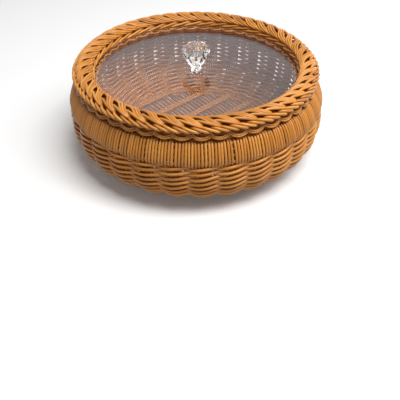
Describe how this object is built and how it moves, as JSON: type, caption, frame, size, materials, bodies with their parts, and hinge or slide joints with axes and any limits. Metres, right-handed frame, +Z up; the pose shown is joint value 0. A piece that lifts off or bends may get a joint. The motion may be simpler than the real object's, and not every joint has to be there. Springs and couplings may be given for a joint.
{
  "type": "round woven storage basket with lid",
  "caption": "Round bellied basket woven from plastic rattan rods, with a braided border and a clear lift-off lid with a faceted knob, for storing small things.",
  "frame": {"origin": "middle of the base, on the surface that the basket stands on", "axes": "+Z up through the knob; +X to the right and -Y to the viewer in the picture's view"},
  "size_m": [0.2828, 0.283, 0.1187],
  "materials": {
    "rattan": "satin honey-coloured plastic rods",
    "rattan_shaded": "satin, a little browner",
    "clear_sheet": "clear polished sheet",
    "clear_knob": "clear, cut facets",
    "screw_metal": "plated"
  },
  "bodies": {
    "basket": {"base_mat": "rattan_shaded", "stake_01": "rattan_shaded", "stake_02": "rattan_shaded", "stake_03": "rattan_shaded", "stake_04": "rattan_shaded", "stake_05": "rattan_shaded", "stake_06": "rattan_shaded", "stake_07": "rattan_shaded", "stake_08": "rattan_shaded", "stake_09": "rattan_shaded", "stake_10": "rattan_shaded", "stake_11": "rattan_shaded", "stake_12": "rattan_shaded", "stake_13": "rattan_shaded", "stake_14": "rattan_shaded", "stake_15": "rattan_shaded", "stake_16": "rattan_shaded", "stake_17": "rattan_shaded", "stake_18": "rattan_shaded", "stake_19": "rattan_shaded", "stake_20": "rattan_shaded", "stake_21": "rattan_shaded", "stake_22": "rattan_shaded", "stake_23": "rattan_shaded", "stake_24": "rattan_shaded", "stake_25": "rattan_shaded", "stake_26": "rattan_shaded", "stake_27": "rattan_shaded", "stake_28": "rattan_shaded", "stake_29": "rattan_shaded", "stake_30": "rattan_shaded", "weaver_row_01": "rattan", "weaver_row_02": "rattan", "weaver_row_03": "rattan", "weaver_row_04": "rattan", "weaver_row_05": "rattan", "weaver_row_06": "rattan", "weaver_row_07": "rattan", "weaver_row_08": "rattan", "weaver_row_09": "rattan", "weaver_row_10": "rattan", "weaver_row_11": "rattan", "weaver_row_12": "rattan", "weaver_row_13": "rattan", "shoulder_rod_01": "rattan_shaded", "shoulder_rod_02": "rattan_shaded", "shoulder_rod_03": "rattan_shaded", "shoulder_rod_04": "rattan_shaded", "shoulder_band_01": "rattan", "shoulder_band_02": "rattan", "shoulder_band_03": "rattan", "border_plait": "rattan", "border_outer_row": "rattan", "border_inner_row": "rattan", "under_rim_loops": "rattan", "lid_ledge_loops": "rattan"},
    "lid": {"lid_panel": "clear_sheet", "lid_knob": "clear_knob", "knob_screw": "screw_metal", "screw_washer": "screw_metal"}
  },
  "joints": [
    {"name": "lid_lift", "type": "slide", "parent": "basket", "child": "lid", "axis": [0, 0, 1], "range_m": [0, 0.12]}
  ]
}
